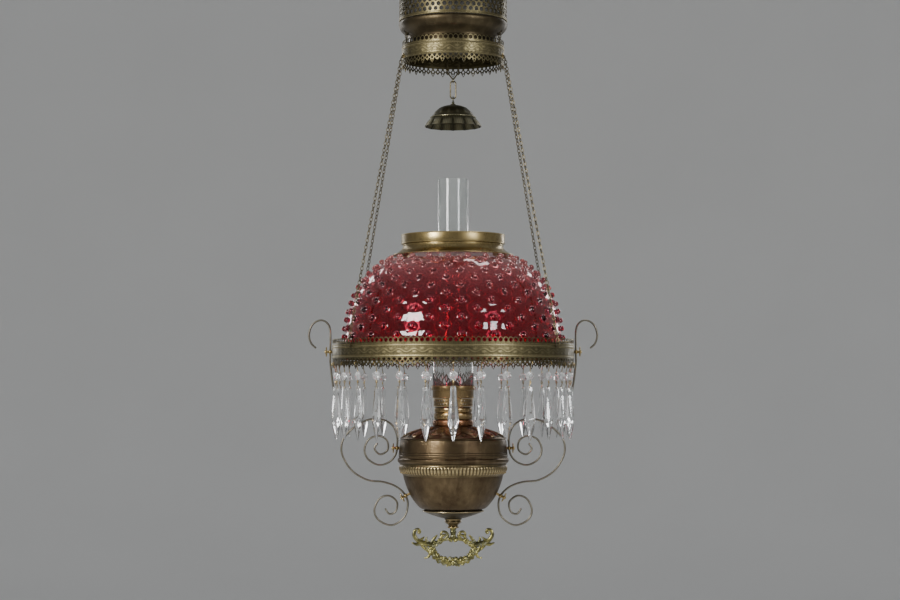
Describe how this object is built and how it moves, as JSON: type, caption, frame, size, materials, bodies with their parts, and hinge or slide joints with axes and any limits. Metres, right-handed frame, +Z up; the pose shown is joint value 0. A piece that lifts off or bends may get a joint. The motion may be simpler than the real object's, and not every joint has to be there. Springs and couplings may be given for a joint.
{
  "type": "hanging oil lamp",
  "caption": "Hanging oil lamp on chains: spring-motor canopy, smoke bell, hobnail glass dome in a prism ring, drop-in font with round-wick burner and chimney, scroll arms and a cast pull.",
  "frame": {"origin": "centre of the hanging eye's bore, at the top of the lamp, with the lamp hanging fully raised", "axes": "+Z up along the lamp's axis; +Y along the eye's bore, towards the back, where the wick knob is; +X to the right, through the right scroll arm"},
  "size_m": [0.4662, 0.389, 0.9781],
  "materials": {
    "antique_brass": "antique olive-brown brass, worn on raised edges",
    "bronzed_brass": "brown satin with soft dark patina",
    "font_brass": "bronzed satin brass with blotchy patina",
    "worn_brass": "brass worn bright on the ribs",
    "satin_brass": "satin polished brass",
    "burner_brass": "warm aged brass",
    "copper_brown": "copper-brown bronzed brass",
    "gilt_brass": "old gilt with pale verdigris in the hollows",
    "screw_brass": "bright brass",
    "chain_brass": "aged olive brass wire",
    "motor_brass": "turned brass, lightly oiled",
    "dark_wire": "dark grey oxidised wire",
    "steel": "plain steel, lightly oiled",
    "cranberry_glass": "cranberry glass, darker towards the base",
    "clear_glass": "thin clear lamp glass",
    "crystal": "clear cut crystal",
    "wick_cotton": "woven cotton"
  },
  "bodies": {
    "canopy": {"hanging_eye": "antique_brass", "eye_nut": "antique_brass", "canopy_top_plate": "antique_brass", "crown_band": "antique_brass", "canopy_waist": "bronzed_brass", "canopy_floor": "bronzed_brass", "lower_band": "antique_brass", "lower_band_ledge": "antique_brass", "motor_frame": "steel", "drum_axle": "steel", "pulley_pins": "steel", "chain_guides": "screw_brass", "left_chains": "chain_brass", "right_chains": "chain_brass", "bell_bail": "chain_brass"},
    "chain_drum": {"spring_barrel": "motor_brass", "barrel_cover": "motor_brass", "mainspring": "steel"},
    "left_pulley_pair": {"left_pulleys": "motor_brass"},
    "right_pulley_pair": {"right_pulleys": "motor_brass"},
    "bell_hanger": {"bell_link": "chain_brass"},
    "bell": {"smoke_bell": "bronzed_brass"},
    "lamp": {"ring_band": "antique_brass", "ring_ledge": "antique_brass", "chain_hooks": "chain_brass", "shade": "cranberry_glass", "shade_collar": "satin_brass", "left_scroll": "dark_wire", "right_scroll": "dark_wire", "left_hanger": "dark_wire", "right_hanger": "dark_wire", "ring_thumb_screws": "screw_brass", "font_thumb_screws": "screw_brass", "bowl_thumb_screws": "screw_brass", "prism_pins": "screw_brass", "prism_buttons": "crystal", "prism_drops": "crystal", "holder_band": "font_brass", "gadroon_band": "worn_brass", "holder_bowl": "font_brass", "foot_dish": "bronzed_brass", "pull_stem": "worn_brass", "pull_washer": "screw_brass", "pull_rod": "steel", "pull_nut": "steel", "pull_handle": "gilt_brass"},
    "font": {"font_tank": "worn_brass", "font_shoulder": "font_brass", "font_collar": "copper_brown", "burner_base": "burner_brass", "burner_neck": "burner_brass", "chimney_gallery": "burner_brass", "draft_tube": "burner_brass", "wick_tube": "burner_brass", "flame_spreader": "burner_brass"},
    "wick": {"wick": "wick_cotton"},
    "wick_winder": {"wick_knob": "burner_brass"},
    "lamp_chimney": {"chimney": "clear_glass"}
  },
  "joints": [
    {"name": "lamp_lower", "type": "slide", "parent": "canopy", "child": "lamp", "axis": [0, 0, -1], "range_m": [0, 0.6], "deforming": ["left_chains", "right_chains"]},
    {"name": "drum_turn", "type": "hinge", "parent": "canopy", "child": "chain_drum", "pos_m": [0, 0, -0.085], "axis": [0, 1, 0], "range_deg": [-1380, 0]},
    {"name": "left_pulley_turn", "type": "hinge", "parent": "canopy", "child": "left_pulley_pair", "pos_m": [-0.063, 0, -0.078], "axis": [0, 1, 0], "range_deg": [-2870, 0]},
    {"name": "right_pulley_turn", "type": "hinge", "parent": "canopy", "child": "right_pulley_pair", "pos_m": [0.063, 0, -0.078], "axis": [0, 1, 0], "range_deg": [0, 2870]},
    {"name": "link_swing", "type": "hinge", "parent": "canopy", "child": "bell_hanger", "pos_m": [0, 0, -0.1826], "axis": [1, 0, 0], "range_deg": [-20, 20]},
    {"name": "bell_swing", "type": "hinge", "parent": "bell_hanger", "child": "bell", "pos_m": [0, 0, -0.2109], "axis": [0, 1, 0], "range_deg": [-15, 15]},
    {"name": "font_lift", "type": "slide", "parent": "lamp", "child": "font", "axis": [0, 0, 1], "range_m": [0, 0.035]},
    {"name": "chimney_lift", "type": "slide", "parent": "font", "child": "lamp_chimney", "axis": [0, 0, 1], "range_m": [0, 0.045]},
    {"name": "wick_knob_turn", "type": "hinge", "parent": "font", "child": "wick_winder", "pos_m": [0, 0.03, -0.7015], "axis": [0, 1, 0], "range_deg": [0, 170]},
    {"name": "wick_raise", "type": "slide", "parent": "font", "child": "wick", "axis": [0, 0, 1], "range_m": [0, 0.012]}
  ],
  "couplings": [
    {"joint": "drum_turn", "follows": "lamp_lower", "rad_per_m": -40},
    {"joint": "left_pulley_turn", "follows": "lamp_lower", "rad_per_m": -83.333},
    {"joint": "right_pulley_turn", "follows": "lamp_lower", "rad_per_m": 83.333},
    {"joint": "wick_raise", "follows": "wick_knob_turn", "m_per_rad": 0.004}
  ]
}
